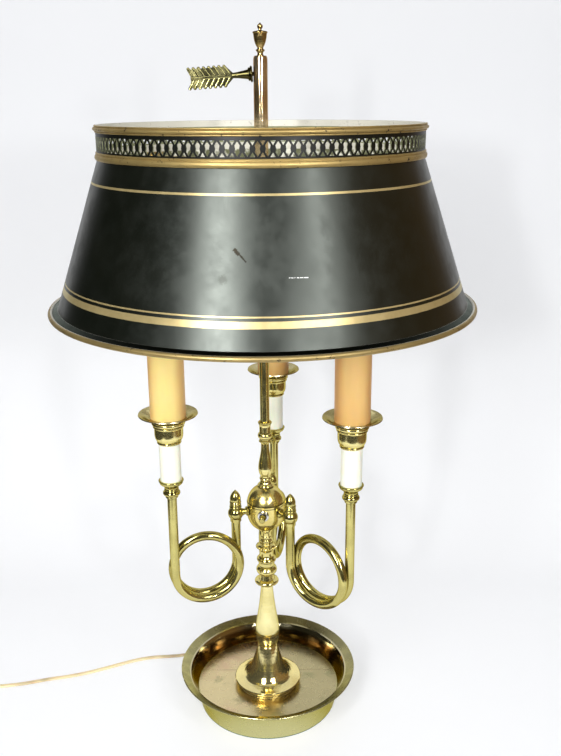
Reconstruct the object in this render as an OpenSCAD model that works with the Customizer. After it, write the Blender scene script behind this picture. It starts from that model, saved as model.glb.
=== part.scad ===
// Bouillotte lamp: a dished brass base, a turned column, three horn arms that
// each loop once under a candle light, and a metal shade that slides on a rod.
// Millimetres, +Z up, origin on the table under the middle of the base.

/* [Base] */
// Radius of the tray where it stands on the felt
tray_foot_r = 76; // [70:0.5:84]
// Radius of the tray's turned-out rim
tray_rim_r = 96.5; // [90:0.5:104]
// Height of the tray without its felt
tray_h = 40.4; // [34:0.1:48]
// Width of the rim's sloping lip
lip_w = 9; // [6:0.5:12]
// Rise of the lip over its width
lip_rise = 4.6; // [2:0.1:7]
// Thickness of the tray's brass
tray_t = 1.5; // [1:0.1:2]
// Height of the dish's floor above the foot
floor_h = 15.8; // [14:0.1:20]
// Thickness of the felt under the foot
felt_t = 1.2; // [0.8:0.1:2]
// Radius of the iron weight under the floor
weight_r = 60; // [50:1:64]
// Thickness of the iron weight
weight_t = 7; // [4:0.5:8]

/* [Column] */
// Radius of the trumpet foot's edge
foot_r = 36.8; // [32:0.1:42]
// Height of the trumpet foot
foot_h = 49; // [46:0.5:56]
// Height of the tapered stem
stem_h = 74; // [70:0.5:90]
// Largest radius of the tapered stem
stem_r = 13.5; // [12:0.1:15]
// Height of the ball and disc collar
collar_h = 28; // [27:0.5:34]
// Radius of the collar's disc
disc_r = 13; // [12:0.1:15]
// Radius of the collar's ball
ball_ring_r = 11.2; // [10.5:0.1:13]
// Height of the beaded spool
spool_h = 24; // [23:0.5:28]
// Number of beads round the spool's top
bead_count = 24; // [16:1:30]
// Height of the necking under the cluster body
necking_h = 16.4; // [16:0.1:20]
// Radius of the threaded pipe in the column
pipe_r = 4.85; // [4.5:0.05:5]

/* [Cluster body] */
// Outer radius of the cluster body
cluster_r = 19.8; // [19.5:0.1:23]
// Wall of the cluster body and its cap
cluster_t = 1.6; // [1.2:0.1:2]
// Height of the straight wall between its two domes
cluster_wall_h = 12.5; // [11:0.5:16]
// Thickness of the solid floor that the pipe nut sits on
cluster_floor = 7.6; // [7:0.1:9]
// Compass bearing of the switch, clockwise from the back
switch_bearing = 187; // [180:1:192]
// Radius of the switch's knob
knob_r = 3.1; // [2.6:0.1:3.4]

/* [Horn arms] */
// Compass bearing of the back arm, clockwise from the back
arm_bearing = 10.5; // [4:0.5:16]
// Outer radius of the arm's tube
tube_r = 4.75; // [4.2:0.05:5]
// Wall of the arm's tube
tube_t = 1; // [0.8:0.1:1.4]
// Distance of the arm's ball from the lamp's axis
ball_reach = 33.5; // [33:0.5:36]
// Radius of the horn's loop, at the middle of the tube
loop_r = 34.5; // [28:0.25:38]
// Sideways step from one turn of the horn to the next
loop_step = 10.6; // [10.4:0.1:12]
// Height of the loop's centre below the ball
loop_drop = 52.8; // [48:0.1:60]
// Radius of the ball that ends the arm
ball_r = 8; // [7.6:0.1:9]
// Height of the arm's upright end above the ball's centre
riser_h = 38.2; // [34:0.5:44]

/* [Candle lights] */
// Outer radius of the white candle tube
candle_r = 10.6; // [10:0.1:11.5]
// Length of the white candle tube
candle_len = 46.5; // [42:0.5:52]
// Height of the turned collar under the candle tube
candle_collar_h = 19.5; // [19:0.5:24]
// Radius of the brass candle cup
cup_r = 14.1; // [13.6:0.1:15]
// Height of the brass candle cup
cup_h = 24; // [22:0.5:27]
// Radius of the drip pan
pan_r = 29; // [26:0.5:32]
// Rise of the drip pan's rim above its floor
pan_rise = 4; // [3:0.1:6]
// Outer radius of the amber sleeve
amber_r = 17.4; // [17:0.1:18.5]
// Wall of the amber sleeve
amber_t = 1.6; // [1.2:0.1:2]
// Length of the amber sleeve
amber_len = 101.6; // [90:0.1:106]
// Radius of the lamp socket's threaded shell
socket_bore_r = 13.25; // [13.1:0.05:13.4]
// Depth of the lamp socket's threaded shell
socket_depth = 25; // [22:0.5:28]

/* [Rod and shade mount] */
// Height of the turned vase column over the cluster body
vase_h = 73; // [70:0.5:80]
// Radius of the rod that carries the shade
rod_r = 4.75; // [4.5:0.05:5]
// Length of the rod that stands above the vase column
rod_len = 352.6; // [345:0.1:370]
// Outer radius of the sliding sleeve
sleeve_r = 6.5; // [6.2:0.05:6.8]
// Length of the sleeve above the shade's hub
sleeve_len = 91.5; // [85:0.5:100]
// Running clearance of sliding and turning fits, on the radius
fit_gap = 0.05; // [0.03:0.01:0.08]
// How far the arrow key points below level, in degrees
key_droop = 4; // [0:1:6]
// Height of the arrow key below the sleeve's top
key_drop = 15; // [12:0.5:24]
// Length of the arrow's feathered end
fletch_len = 43; // [34:0.5:48]
// Half height of the arrow's feathered end
fletch_w = 10; // [9:0.5:12]
// Number of barbs on each side of the arrow
barb_count = 8; // [5:1:9]

/* [Shade] */
// Outer radius of the shade's top band
shade_top_r = 151.4; // [140:0.2:160]
// Outer radius of the cone where it turns out to the rim
shade_foot_r = 196.5; // [185:0.5:198]
// Radius of the rolled rim, at the middle of its roll
rim_r = 203.6; // [202:0.1:210]
// Height of the cone between its rim and the middle ring
cone_h = 138.5; // [130:0.5:150]
// Thickness of the shade's metal
shade_t = 1; // [0.8:0.1:1.4]
// Height of the middle ring
ring_h = 7.2; // [6:0.1:9]
// Height of the pierced gallery
gallery_h = 16.6; // [15:0.1:20]
// Height of the top roll
top_roll_h = 6.6; // [6:0.1:9]
// Radius of the rolled rim's section
rim_roll_r = 2.4; // [1.8:0.1:3]
// Number of pierced ovals round the gallery
oval_count = 120; // [100:4:124]
// Height of a pierced oval
oval_h = 11.6; // [10:0.1:13]
// Width of a pierced oval
oval_w = 4.2; // [3.4:0.1:4.6]

/* [Cord] */
// Width of the flat lamp cord
cord_w = 5; // [4.4:0.1:5.4]
// Thickness of the flat lamp cord
cord_t = 2.8; // [2.4:0.1:2.9]
// Mean diameter of the coiled spare cord
coil_d = 56; // [50:1:60]

/* [Hidden] */
$fn = 64;

brass = "#d8b65a";
aged_brass = "#b9a860";
tole = "#20241f";
gilt = "#c9a24a";
ivory = "#f6f2e2";
amber = "#f0bd6c";
steel = "#b8b8b4";
iron = "#4c4c4c";
phenolic = "#2a2420";
cord_gold = "#d9c48a";

seat_gap = 0.05;                        // radial play of pieces that are screwed or pushed together
tiny = 0.01;

// heights, stacked up from the table
tray_z = felt_t;
floor_z = tray_z + floor_h;
stem_z = floor_z + foot_h;
collar_z = stem_z + stem_h;
spool_z = collar_z + collar_h;
necking_z = spool_z + spool_h;
cluster_z = necking_z + necking_h;
neck_flat_r = 6.8;                      // radius of the flats under the cluster body
cap_flat_r = 8.9;                       // and on top of its cap
belly_z = cluster_z + sqrt(pow(cluster_r, 2) - pow(neck_flat_r, 2));
seam_z = belly_z + cluster_wall_h;
arm_z = belly_z + cluster_wall_h * 0.4;
cap_top_z = seam_z + sqrt(pow(cluster_r, 2) - pow(cap_flat_r, 2));
vase_top_z = cap_top_z + vase_h;
rod_top_z = vase_top_z + rod_len;

// the base
weight_z = floor_z - tray_t - weight_t;
nut_t = 4;
pipe_nut_w = 19;                        // across the flats
pipe_end = 1;                           // pipe that shows past each nut
pipe_z = weight_z - nut_t - pipe_end;
body_floor_z = cluster_z + cluster_floor;
pipe_top_z = body_floor_z + nut_t + pipe_end;

// the switch
switch_bush_r = 3.9;
switch_nut_r = 6;
switch_nut_t = 2.2;
switch_can_r = 6.6;
switch_can_l = 15;
knob_shaft_r = 1.8;

// the horn arms
nipple_r = 3.175;
nipple_nut_w = 9.5;
nipple_nut_t = 3.4;
nut_play = 0.2;                         // between a nut's corners and the curved wall
nipple_nut_s = sqrt(pow(cluster_r - cluster_t, 2) - pow(nipple_nut_w, 2) / 3) - nut_play - nipple_nut_t;
nipple_end_r = nipple_nut_s - 0.8;
candle_reach = ball_reach + 2 * loop_r;
loop_z = arm_z - loop_drop;
riser_top_z = arm_z + riser_h;
ball_flat = 6.4;                        // height of the flat on the ball that the acorn sits on
acorn_stud_r = 2;
acorn_h = 20;

// the candle lights
collar_foot_z = riser_top_z - 4;
candle_z = collar_foot_z + candle_collar_h - 1.5;
cup_z = candle_z + candle_len - 6;
pan_z = cup_z + cup_h;
pan_t = 1.2;
pan_boss_h = 2;
pan_floor_z = pan_z + pan_boss_h + pan_t;
socket_z = pan_floor_z + 32;
socket_wall = 1.3;
socket_base_t = 7;
socket_top_z = socket_z + socket_base_t + 26 + socket_depth;
candle_pipe_top_z = socket_z + 6;

// the rod, the sleeve and the key
tenon_r = 3.15;
rod_seat = 7;                           // depth of the rod in the vase column
finial_pin_r = 2.2;
finial_pin_len = 8;
sleeve_foot_z = rod_top_z - sleeve_len;
sleeve_tenon_r = 5.6;
hub_t = 5;
hub_r = 13;
turn_gap = 0.1;                         // play over and under the hub
hub_z = sleeve_foot_z - turn_gap - hub_t;
spider_nut_t = 5;
key_z = rod_top_z - key_drop;
key_shank_r = 1.9;
key_boss_r = 7.2;
key_boss_l = 4.2;
key_boss_s = sleeve_r + 0.3 + key_boss_r * sin(key_droop);
key_stem_s = key_boss_s + key_boss_l;
key_stem_l = 14.5;
fletch_s = key_stem_s + key_stem_l - 1.5;

// the shade, hung from the hub
spider_arm_r = 2.2;
cone_top_z = hub_z + hub_t / 2 + 5.2;
rim_z = cone_top_z - cone_h;
cone_foot_z = rim_z + 3.4;
ring_top_z = cone_top_z + ring_h;
gallery_top_z = ring_top_z + gallery_h;
foot_play = 0.12;                       // between the spider's feet and the cone

// the cord, laid on the table
cord_exit_bearing = 128;                // counter-clockwise from the lamp's right
cord_exit_z = 6.2;
cord_hole_r = 4.2;
coil_x = -347;
coil_y = -26.2;
coil_turns_wide = 3;
coil_turns_high = 3;
coil_h = coil_turns_high * (cord_t + 0.1);
route_z = 1.5;                          // the middle of the cord where it lies on the table
cord_route = [
    [-48, 61.5, 6.2], [-53, 68, 6.1], [-57, 72.5, 5], [-62, 75.5, 3.2], [-68, 76.5, 1.6],
    [-78, 76.5, route_z], [-88, 75, route_z], [-98, 72.5, route_z], [-108, 70, route_z],
    [-120, 68.5, route_z], [-132, 67.5, route_z], [-143, 66, route_z], [-156, 62.5, route_z],
    [-169, 57.5, route_z], [-183, 51, route_z], [-197, 44.5, route_z], [-211, 38.5, route_z],
    [-225, 33.5, route_z], [-239, 29.5, route_z], [-253, 26.5, route_z], [-267, 22.5, route_z],
    [-281, 18.5, route_z], [-295, 15.5, route_z], [-309, 13.5, route_z], [-322, 12.5, route_z],
    [-335, 12, route_z], [-347, 12, route_z],
];

// ---- outlines: lists of [radius, height] points, from the bottom up ----

// an arc of a circle
function arc(centre, r, from, to, steps = 8) =
    [for (i = [0:steps]) let (a = from + (to - from) * i / steps)
        [centre[0] + r * cos(a), centre[1] + r * sin(a)]];

// a rounded ring of height t whose outer edge is at radius edge, bulging out by depth
function bead(edge, z, t, depth = 0) =
    let (d = depth > 0 ? depth : t / 2)
    [for (p = arc([0, z], t / 2, -90, 90)) [edge - d + p[0] * 2 * d / t, p[1]]];

// a smooth curve from p to s, leaving p towards q and reaching s from r
function curve(p, q, r, s, steps = 8) =
    [for (i = [0:steps]) let (t = i / steps, u = 1 - t)
        u * u * u * p + 3 * u * u * t * q + 3 * u * t * t * r + t * t * t * s];

function raised(outline, z) = [for (p = outline) [p[0], p[1] + z]];

// ---- shared shapes ----

// a solid of revolution under an outline
module turned(outline) {
    last = outline[len(outline) - 1];
    rotate_extrude() polygon(concat([[0, outline[0][1]]], outline, [[0, last[1]]]));
}

// a straight hole or rod along +Z
module rod(r, z0, z1) {
    translate([0, 0, z0]) cylinder(r = r, h = z1 - z0);
}

module pipe(outer, inner, z0, z1) {
    difference() {
        rod(outer, z0, z1);
        rod(inner, z0 - 1, z1 + 1);
    }
}

module hex_nut(width, bore, z, t) {
    difference() {
        translate([0, 0, z]) cylinder(r = width / sqrt(3), h = t, $fn = 6);
        rod(bore, z - 1, z + t + 1);
    }
}

// places a child that is drawn along the back, +Y, at a compass bearing
module at_bearing(bearing) {
    rotate([0, 0, -bearing]) children();
}

// places a child at one of the three arms, 0 back, 1 right and 2 left
module at_arm(i) {
    at_bearing(arm_bearing + 120 * i) children();
}

// places a child on a candle's axis
module at_candle(i) {
    at_arm(i) translate([-loop_step, candle_reach, 0]) children();
}

// ---- the base ----

lip_in = tray_rim_r - lip_w;
lip_mid = [tray_rim_r - lip_w * 0.45, tray_h - lip_rise * 0.35];
edge_r = 1;                             // the rim's rounded edge
wall_outer = concat(
    curve([tray_foot_r, 0], [tray_foot_r + 2.5, floor_h * 0.9],
          [lip_in - 4, tray_h - lip_rise - 9], [lip_in, tray_h - lip_rise - tray_t]),
    [lip_mid - [0, tray_t]], arc([tray_rim_r - edge_r, tray_h - edge_r], edge_r, -90, 90));
wall_inner = concat(
    [[tray_foot_r - tray_t, -1]], [for (i = [0:8]) wall_outer[i] + [-tray_t, tray_t * 0.6]],
    [lip_mid, [tray_rim_r - edge_r, tray_h]]);

module tray_section() {
    difference() {
        polygon(concat([[0, 0]], wall_outer, [[0, tray_h]]));
        difference() {
            polygon(concat([[-1, -1]], wall_inner, [[tray_rim_r - edge_r, tray_h + 1], [-1, tray_h + 1]]));
            translate([-1, floor_h - tray_t]) square([tray_foot_r + 6, tray_t]);
        }
    }
}

module tray() {
    color(aged_brass) difference() {
        translate([0, 0, tray_z]) rotate_extrude() tray_section();
        rod(pipe_r + seat_gap, 0, tray_z + tray_h);
        translate([0, 0, cord_exit_z]) rotate([0, 90, cord_exit_bearing])
            rod(cord_hole_r, weight_r, tray_rim_r);
    }
}

module base_weight() {
    color(iron) pipe(weight_r, pipe_r + seat_gap, weight_z, weight_z + weight_t);
}

module base_felt() {
    color("#3d5a41") rod(tray_foot_r - 0.4, 0, felt_t);
}

module pipe_nuts() {
    color(steel) {
        hex_nut(pipe_nut_w, pipe_r + seat_gap, weight_z - nut_t, nut_t);
        hex_nut(pipe_nut_w, pipe_r + seat_gap, body_floor_z, nut_t);
    }
}

module threaded_pipe() {
    color(steel) pipe(pipe_r, pipe_r - 1.25, pipe_z, pipe_top_z);
}

// ---- the column ----

module column_piece(outline, z) {
    color(brass) difference() {
        turned(raised(outline, z));
        rod(pipe_r + seat_gap, z - 1, z + outline[len(outline) - 1][1] + 1);
    }
}

// a wide bell over two small steps, drawn up into a neck
module trumpet_foot() {
    edge_z = 7;
    neck_r = 10.2;
    shoulder = [foot_r - 9.6, edge_z + 4];
    bell = concat(
        [[foot_r - 3.8, 0]], bead(foot_r - 3.1, 1.2, 2, 0.7), [[foot_r - 4.3, 2.4]],
        bead(foot_r - 3.3, 3.4, 1.6, 0.7), [[foot_r - 4, 4.4]],
        curve([foot_r - 3.4, 4.7], [foot_r - 0.8, 5.4], [foot_r, 6], [foot_r, edge_z], 5),
        curve([foot_r, edge_z + 0.4], [foot_r, edge_z + 2.6], [foot_r - 3, edge_z + 1.2], shoulder, 7),
        curve(shoulder + [-0.8, 0.4], [foot_r - 19, edge_z + 8.4],
              [neck_r + 4.2, foot_h - 11], [neck_r, foot_h - 1.4], 12),
        [[neck_r, foot_h - 0.8], [neck_r - 0.6, foot_h]]);
    column_piece(bell, floor_z);
}

module tapered_stem() {
    seat_r = 9.8;
    neck = stem_r * 0.46;
    stem = concat(
        [[seat_r, 0]],
        curve([seat_r + 0.3, 0.6], [stem_r * 0.93, 5], [stem_r, 11], [stem_r, 18.6]),
        curve([stem_r * 0.99, 20.5], [stem_r * 0.93, 29], [stem_r * 0.68, stem_h * 0.56],
              [neck * 1.04, stem_h - 2]),
        [[neck, stem_h]]);
    column_piece(stem, stem_z);
}

module stem_collar() {
    disc_z = 5.7;
    ball_z = collar_h - 8.4;
    column_piece(concat(
        [[6.6, 0], [7, 0.4]], curve([7.1, 1.2], [7.4, 2], [8, disc_z - 3.4], [disc_r - 2.2, disc_z - 2.4], 5),
        bead(disc_r, disc_z, 4.6), [[disc_r - 4.4, disc_z + 2.9]],
        arc([ball_ring_r - 5.4, ball_z], 5.4, -72, 72),
        [[ball_ring_r - 2.6, collar_h - 2.4], [8.6, collar_h - 1.2], [8.6, collar_h]]), collar_z);
}

module beaded_spool() {
    bead_r = 1.35;
    bead_z = spool_z + spool_h - 4.6;
    bead_ring_r = 10;
    color(brass) difference() {
        union() {
            turned(raised(concat(
                [[8.8, 0], [8.8, 1.4]], bead(10.5, 4.2, 5.2),
                curve([8.4, 7.4], [7.4, 9], [7.4, 13], [8.4, spool_h - 8.4]),
                [[bead_ring_r - 0.4, spool_h - 6.6]], [[bead_ring_r, spool_h - 5.6]],
                [[bead_ring_r, spool_h - 3.6]], [[bead_ring_r - 1.6, spool_h - 2.2]],
                [[7, spool_h - 1.4], [7, spool_h]]), spool_z));
            for (i = [0:bead_count - 1])
                rotate([0, 0, 360 * i / bead_count]) translate([bead_ring_r + 0.1, 0, bead_z])
                    sphere(r = bead_r, $fn = 24);
        }
        rod(pipe_r + seat_gap, spool_z - 1, spool_z + spool_h + 1);
    }
}

module necking() {
    column_piece(concat(
        [[6.4, 0], [6.4, 0.6]], bead(7.1, 2.4, 3.2, 0.9), [[5.7, 4.6]], bead(6.1, 7, 3, 0.6),
        curve([5.5, 8.8], [5.4, 11], [5.8, necking_h - 3.4], [6.8, necking_h - 1.6]),
        [[6.8, necking_h]]), necking_z);
}

// ---- the cluster body and its switch ----

module at_switch() {
    at_bearing(switch_bearing) translate([0, 0, arm_z]) rotate([-90, 0, 0]) children();
}

// half the section of a bowl of radius r from a flat at z0 up to its seam
module bowl_section(r, z0, z1) {
    intersection() {
        translate([0, belly_z]) circle(r = r);
        translate([0, z0]) square([r, belly_z - z0 + cluster_wall_h / 2]);
    }
    translate([0, belly_z]) square([r, z1 - belly_z]);
}

module cluster_body() {
    inner_r = cluster_r - cluster_t;
    color(brass) difference() {
        rotate_extrude() difference() {
            bowl_section(cluster_r, cluster_z, seam_z);
            bowl_section(inner_r, body_floor_z, seam_z + 1);
        }
        rod(pipe_r + seat_gap, cluster_z - 1, belly_z);
        for (i = [0:2])
            at_arm(i) translate([0, 0, arm_z]) rotate([-90, 0, 0])
                rod(nipple_r + seat_gap, inner_r - 6, cluster_r + 2);
        at_switch() rod(switch_bush_r + seat_gap, inner_r - 6, cluster_r + 2);
    }
}

module cluster_cap() {
    lip_h = 1.4;
    color(brass) difference() {
        union() {
            intersection() {
                translate([0, 0, seam_z]) sphere(r = cluster_r);
                rod(cluster_r + 1, seam_z, cap_top_z);
            }
            rod(cluster_r + 0.35, seam_z, seam_z + lip_h);
        }
        intersection() {
            translate([0, 0, seam_z]) sphere(r = cluster_r - cluster_t);
            rod(cluster_r, seam_z - 1, cap_top_z - cluster_t);
        }
        rod(tenon_r + seat_gap, seam_z, cap_top_z + 1);
    }
}

module switch_body() {
    wall_s = sqrt(pow(cluster_r - cluster_t, 2) - pow(switch_can_r, 2)) - nut_play;
    color(phenolic) at_switch() {
        rod(switch_can_r, wall_s - switch_can_l, wall_s);
        pipe(switch_bush_r, knob_shaft_r + fit_gap, wall_s, cluster_r + switch_nut_t + 0.6);
    }
}

module switch_nut() {
    top_s = cluster_r + switch_nut_t;
    color(steel) at_switch() difference() {
        turned(concat(
            [[switch_nut_r, cluster_r], [switch_nut_r, top_s - 1.4]],
            arc([switch_nut_r - 0.6, top_s - 1.4], 0.6, 0, 90, 4),
            [[switch_nut_r - 1.3, top_s - 0.9], [switch_nut_r - 1.3, top_s]]));
        rod(switch_bush_r + seat_gap, cluster_r - 1, top_s + 1);
    }
}

module switch_knob() {
    knob_s = cluster_r + switch_nut_t + 0.9;
    color(brass) at_switch() {
        difference() {
            turned(concat(
                [[knob_r - 0.9, knob_s], [knob_r, knob_s + 1.2], [knob_r, knob_s + 7]],
                arc([knob_r - 1, knob_s + 7.2], 1, 0, 90, 4)));
            for (i = [0:11])
                rotate([0, 0, 30 * i]) translate([knob_r + 0.35, 0, knob_s + 1.6])
                    cylinder(r = 0.6, h = 5, $fn = 16);
        }
        rod(knob_shaft_r, cluster_r - 2, knob_s + 1);
    }
}

// one on each arm's nipple, one on the rod's tenon under the cap
module nipple_nuts() {
    color(steel) {
        for (i = [0:2])
            at_arm(i) translate([0, 0, arm_z]) rotate([-90, 0, 0])
                hex_nut(nipple_nut_w, nipple_r + seat_gap, nipple_nut_s, nipple_nut_t);
        hex_nut(nipple_nut_w, nipple_r + seat_gap, cap_top_z - cluster_t - nipple_nut_t, nipple_nut_t);
    }
}

// ---- the horn arms ----

// half a ring of round bar in the XZ plane, its open ends up
module half_ring(ring_r, bar_r) {
    rotate([-90, 0, 0]) rotate_extrude(angle = 180) translate([ring_r, 0]) circle(r = bar_r);
}

// down from the ball, round under, over and under again, and up to the candle
module horn(bar_r, end) {
    mid = ball_reach + loop_r;
    slant = atan2(loop_step, 2 * loop_r);
    joint_h = 1;
    joint_r = bar_r + 0.03;
    translate([0, ball_reach, 0]) rod(bar_r, loop_z, arm_z - 4 + end);
    translate([0, mid, loop_z]) rotate([0, 0, 90]) half_ring(loop_r, bar_r);
    translate([-loop_step / 2, mid, loop_z]) rotate([0, 0, 90 - slant]) mirror([0, 0, 1])
        half_ring(norm([loop_r, loop_step / 2]), bar_r);
    translate([-loop_step, mid, loop_z]) rotate([0, 0, 90]) half_ring(loop_r, bar_r);
    translate([-loop_step, candle_reach, 0]) rod(bar_r, loop_z, riser_top_z + end);
    // the brazed joints at both ends of the upper half turn
    translate([0, candle_reach, loop_z]) rod(joint_r, -joint_h / 2, joint_h / 2);
    translate([-loop_step, ball_reach, loop_z]) rod(joint_r, -joint_h / 2, joint_h / 2);
}

module arm_tube(i) {
    color(brass) at_arm(i) difference() {
        horn(tube_r, 0);
        horn(tube_r - tube_t, 1);
    }
}

module arm_ball(i) {
    stub_from = nipple_end_r;
    flange_s = cluster_r + seat_gap;
    color(brass) at_arm(i) difference() {
        union() {
            translate([0, ball_reach, arm_z]) intersection() {
                sphere(r = ball_r);
                rod(ball_r + 1, -ball_r, ball_flat);
            }
            translate([0, ball_reach, arm_z]) rod(tube_r + 1, -ball_r - 0.8, -ball_r + 3);
            translate([0, 0, arm_z]) rotate([-90, 0, 0]) turned(concat(
                [[nipple_r, stub_from], [nipple_r, flange_s], [4.6, flange_s]],
                bead(5.1, flange_s + 1.2, 1.8),
                [[3.3, flange_s + 2.8], [3.2, flange_s + 4.4], [3.9, flange_s + 6], [3.9, ball_reach - 2]]));
        }
        translate([0, ball_reach, arm_z]) {
            rod(tube_r + seat_gap, -ball_r - 2, -4);
            rod(acorn_stud_r + seat_gap, -1, ball_r + 1);
        }
        translate([0, 0, arm_z]) rotate([-90, 0, 0]) rod(nipple_r - 1, stub_from - 1, ball_reach);
        translate([0, ball_reach, arm_z]) rod(nipple_r - 1, -5, 0);
    }
}

module arm_acorns() {
    color(brass) for (i = [0:2]) at_arm(i) translate([0, ball_reach, arm_z + ball_flat])
        turned(concat(
            [[acorn_stud_r, -4], [acorn_stud_r, 0], [5.7, 0]], bead(6.4, 1.1, 2.2, 0.8), [[5.1, 2.7]],
            bead(6, 3.8, 1.8, 0.8), [[5, 5.1]], bead(6.1, 6.3, 1.8, 0.6), [[5.4, 7.6]],
            curve([5.6, 8.2], [6.1, 12], [4.6, acorn_h - 4], [1.1, acorn_h - 0.8]), [[0.3, acorn_h]]));
}

// ---- the candle lights, from the arm up ----

module candle_collar(i) {
    h = candle_collar_h;
    color(brass) at_candle(i) translate([0, 0, collar_foot_z]) difference() {
        turned(concat(
            [[5.9, 0], [6.3, 0.6], [6.3, 2.4]], bead(8.7, 5.2, 4.6, 2), [[6.4, 8]],
            bead(7.3, 9.3, 1.6, 0.7), curve([7, 10.6], [7.3, 12], [8, 13], [9.4, 14], 4),
            curve([9.8, 14.4], [11.2, 15.2], [11.9, 16.2], [12, h - 1.8], 4),
            bead(candle_r + 1.9, h - 0.9, 1.6, 0.7), [[candle_r + 0.5, h]]));
        rod(candle_r + seat_gap, h - 1.5, h + 1);
        rod(pipe_r + seat_gap, -1, h);
    }
}

module candle_pipes() {
    color(steel) for (i = [0:2]) at_candle(i)
        pipe(pipe_r, pipe_r - 1.25, riser_top_z, candle_pipe_top_z);
}

module candle_tube(i) {
    color(ivory) at_candle(i) pipe(candle_r, candle_r - 1.4, candle_z, candle_z + candle_len);
}

module candle_cup(i) {
    mouth = 6.5;
    color(brass) at_candle(i) translate([0, 0, cup_z]) difference() {
        turned(concat(
            bead(candle_r + 1.4, 1.1, 2.2), [[candle_r + 0.9, 2.4]],
            curve([candle_r + 1.6, 3.2], [cup_r - 0.6, 5], [cup_r, 7], [cup_r, 11]),
            [[cup_r, cup_h - 7.6]], bead(cup_r + 1.2, cup_h - 6.2, 2.2, 1), [[cup_r + 0.3, cup_h - 4.7]],
            bead(cup_r + 2.4, cup_h - 2.6, 3.4, 1.2), [[cup_r + 0.4, cup_h - 0.6], [cup_r + 0.4, cup_h]]));
        rod(candle_r + seat_gap, -1, mouth);
        rod(pipe_r + seat_gap, 0, cup_h + 1);
    }
}

module drip_pan(i) {
    top = pan_boss_h + pan_t;
    outer = cup_r + 0.4;
    under = concat([[outer, 0], [outer, pan_boss_h - 0.8], [outer + 0.9, pan_boss_h]],
        curve([amber_r + 1.2, pan_boss_h + 0.1], [pan_r - 6, pan_boss_h + 0.6],
              [pan_r - 4, pan_boss_h + pan_rise - 0.6], [pan_r, pan_boss_h + pan_rise]));
    over = curve([pan_r - 0.3, top + pan_rise - 0.2], [pan_r - 4.6, top + pan_rise - 0.6],
        [pan_r - 6.6, top + 0.5], [amber_r + 1, top]);
    color(brass) at_candle(i) translate([0, 0, pan_z]) difference() {
        rotate_extrude() polygon(concat([[0, 0]], under, over, [[0, top]]));
        rod(pipe_r + seat_gap, -1, top + 1);
    }
}

module amber_sleeve(i) {
    color(amber) at_candle(i) pipe(amber_r, amber_r - amber_t, pan_floor_z, pan_floor_z + amber_len);
}

module socket(i) {
    r = socket_bore_r + socket_wall;
    color(phenolic) at_candle(i) difference() {
        turned([[7.5, socket_z], [7.5, socket_z + 3], [r, socket_z + socket_base_t], [r, socket_top_z]]);
        rod(socket_bore_r, socket_top_z - socket_depth, socket_top_z + 1);
        rod(pipe_r + seat_gap, socket_z - 1, candle_pipe_top_z);
    }
}

// ---- the rod, the sleeve and the arrow key ----

module vase_column() {
    h = vase_h;
    color(brass) translate([0, 0, cap_top_z]) difference() {
        turned(concat(
            [[8.2, 0]], bead(8.7, 1.6, 2.4), curve([7.6, 3.4], [6.4, 4.2], [5.7, 5.2], [5.6, 7], 4),
            bead(6.3, 9.4, 3, 1), [[5.2, 11.6], [5.3, 12.8]],
            curve([5.8, 13.6], [8, 18], [7.7, 24], [6, 32]),
            curve([5.7, 33.6], [4.7, 38], [4.2, 42], [4.2, h - 24.5]),
            [[4.8, h - 23.4]], bead(6.5, h - 21.6, 2.4), [[5.2, h - 19.8], [5.4, h - 19]],
            bead(7.5, h - 15.4, 6.4, 2.2), [[5.8, h - 11.6], [5.8, h - 5.6]],
            curve([5.9, h - 4.6], [6.1, h - 3], [6.6, h - 2.6], [6.9, h - 2.4], 3),
            bead(7.2, h - 1.4, 1.8), [[6.2, h]]));
        rod(tenon_r + seat_gap, -1, h);
        rod(rod_r + seat_gap, h - rod_seat, h + 1);
    }
}

module shade_rod() {
    color(brass) difference() {
        union() {
            rod(rod_r, vase_top_z - rod_seat, rod_top_z);
            rod(tenon_r, cap_top_z - cluster_t - nipple_nut_t - 0.8, vase_top_z - rod_seat);
        }
        rod(finial_pin_r + seat_gap, rod_top_z - finial_pin_len - 1, rod_top_z + 1);
    }
}

module finial() {
    color(brass) translate([0, 0, rod_top_z]) turned(concat(
        [[finial_pin_r, -finial_pin_len], [finial_pin_r, 0], [3.4, 0]],
        curve([3, 0.7], [2.5, 1.2], [2.5, 2], [2.7, 2.6], 4), bead(4.1, 4.6, 1.9),
        [[2.8, 5.8], [2.6, 6.8]], curve([2.9, 7.3], [4.2, 9], [5.8, 12.6], [6.2, 18.6]),
        bead(6.8, 19.8, 1.8, 0.7), [[4.8, 21], [2.2, 21.4], [1.4, 22], [1.4, 22.8]],
        arc([0, 24.8], 2.6, -50, 30, 6), [[1.1, 27], [0.3, 28]]));
}

module shade_sleeve() {
    shoulder = 3;
    color(brass) difference() {
        turned([
            [sleeve_tenon_r, hub_z - turn_gap - spider_nut_t - 1], [sleeve_tenon_r, sleeve_foot_z],
            [sleeve_r, sleeve_foot_z], [sleeve_r, rod_top_z - shoulder],
            [sleeve_r - 0.25, rod_top_z - shoulder * 0.5], [sleeve_r - 0.9, rod_top_z]]);
        rod(rod_r + fit_gap, hub_z - 20, rod_top_z + 1);
        at_key() rod(key_shank_r + fit_gap, 0, sleeve_r * 2);
    }
}

// the key's axis, out of the sleeve to the lamp's left and a little down
module at_key() {
    translate([0, 0, key_z]) rotate([0, -90 - key_droop, 0]) children();
}

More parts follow.
